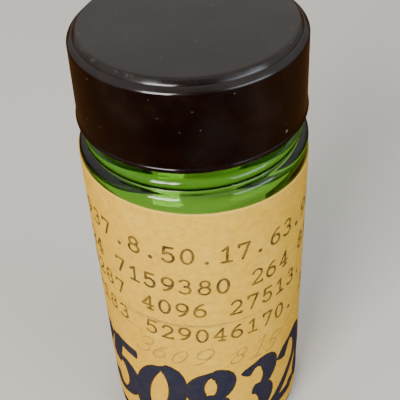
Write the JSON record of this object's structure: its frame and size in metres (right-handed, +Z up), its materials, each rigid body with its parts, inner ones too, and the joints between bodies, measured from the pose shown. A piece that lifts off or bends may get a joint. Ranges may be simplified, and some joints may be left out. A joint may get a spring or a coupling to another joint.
{
  "type": "prescription vial",
  "caption": "Cylindrical green glass prescription vial with a threaded neck, a moulded screw cap with a paper liner, and a paper label wrapped round its front.",
  "frame": {"origin": "centre of the resting plane, on the vial's axis", "axes": "+Z up along the vial's axis, -Y towards the middle of the label, +X to the right as the label is read"},
  "size_m": [0.0264, 0.0263, 0.0596],
  "materials": {
    "green_glass": "smooth, polished, clear green",
    "phenolic": "glossy black-brown moulding",
    "label_paper": "aged cream paper under a thin varnish",
    "pulpboard": "soft pulpboard",
    "waxed_paper": "waxed, slightly glossy"
  },
  "bodies": {
    "vial": {"glass_vial": "green_glass", "paper_label": "label_paper"},
    "liner": {"liner_backing": "pulpboard", "liner_facing": "waxed_paper"},
    "cap": {"screw_cap": "phenolic"}
  },
  "joints": [
    {"name": "cap_lift", "type": "slide", "parent": "vial", "child": "liner", "axis": [0, 0, 1], "range_m": [0, 0.00953]},
    {"name": "cap_turn", "type": "hinge", "parent": "liner", "child": "cap", "pos_m": [0, 0, 0.05], "axis": [0, 0, 1], "range_deg": [0, 1080]}
  ],
  "couplings": [
    {"joint": "cap_lift", "follows": "cap_turn", "m_per_rad": 0.00050532}
  ]
}
